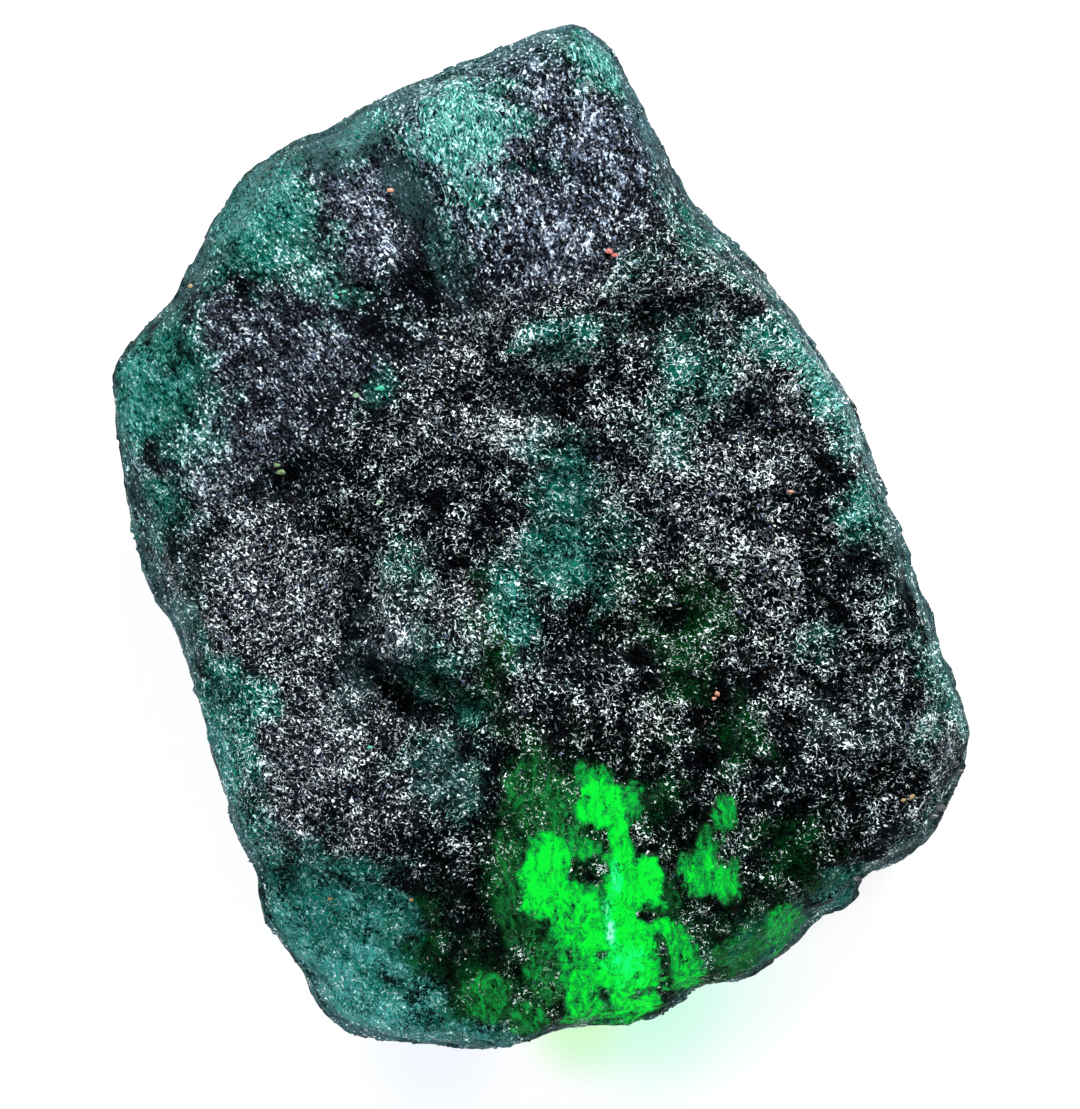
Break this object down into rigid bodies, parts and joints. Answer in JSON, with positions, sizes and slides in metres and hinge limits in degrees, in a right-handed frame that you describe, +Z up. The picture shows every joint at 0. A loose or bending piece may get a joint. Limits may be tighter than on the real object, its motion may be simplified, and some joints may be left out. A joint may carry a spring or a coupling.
{
  "type": "raw emerald crystal",
  "caption": "Rough uncut emerald: a flat-lying slab of green beryl in dark mica schist, with a broken upper face, for display or study.",
  "frame": {"origin": "middle of the stone's box, on the surface that it rests on", "axes": "+Y along the stone's length towards its blunt tip, +Z up from the resting face"},
  "size_m": [0.0716, 0.0858, 0.0222],
  "materials": {
    "emerald_in_schist": "rough"
  },
  "bodies": {
    "root": {"raw_emerald": "emerald_in_schist"}
  },
  "joints": []
}
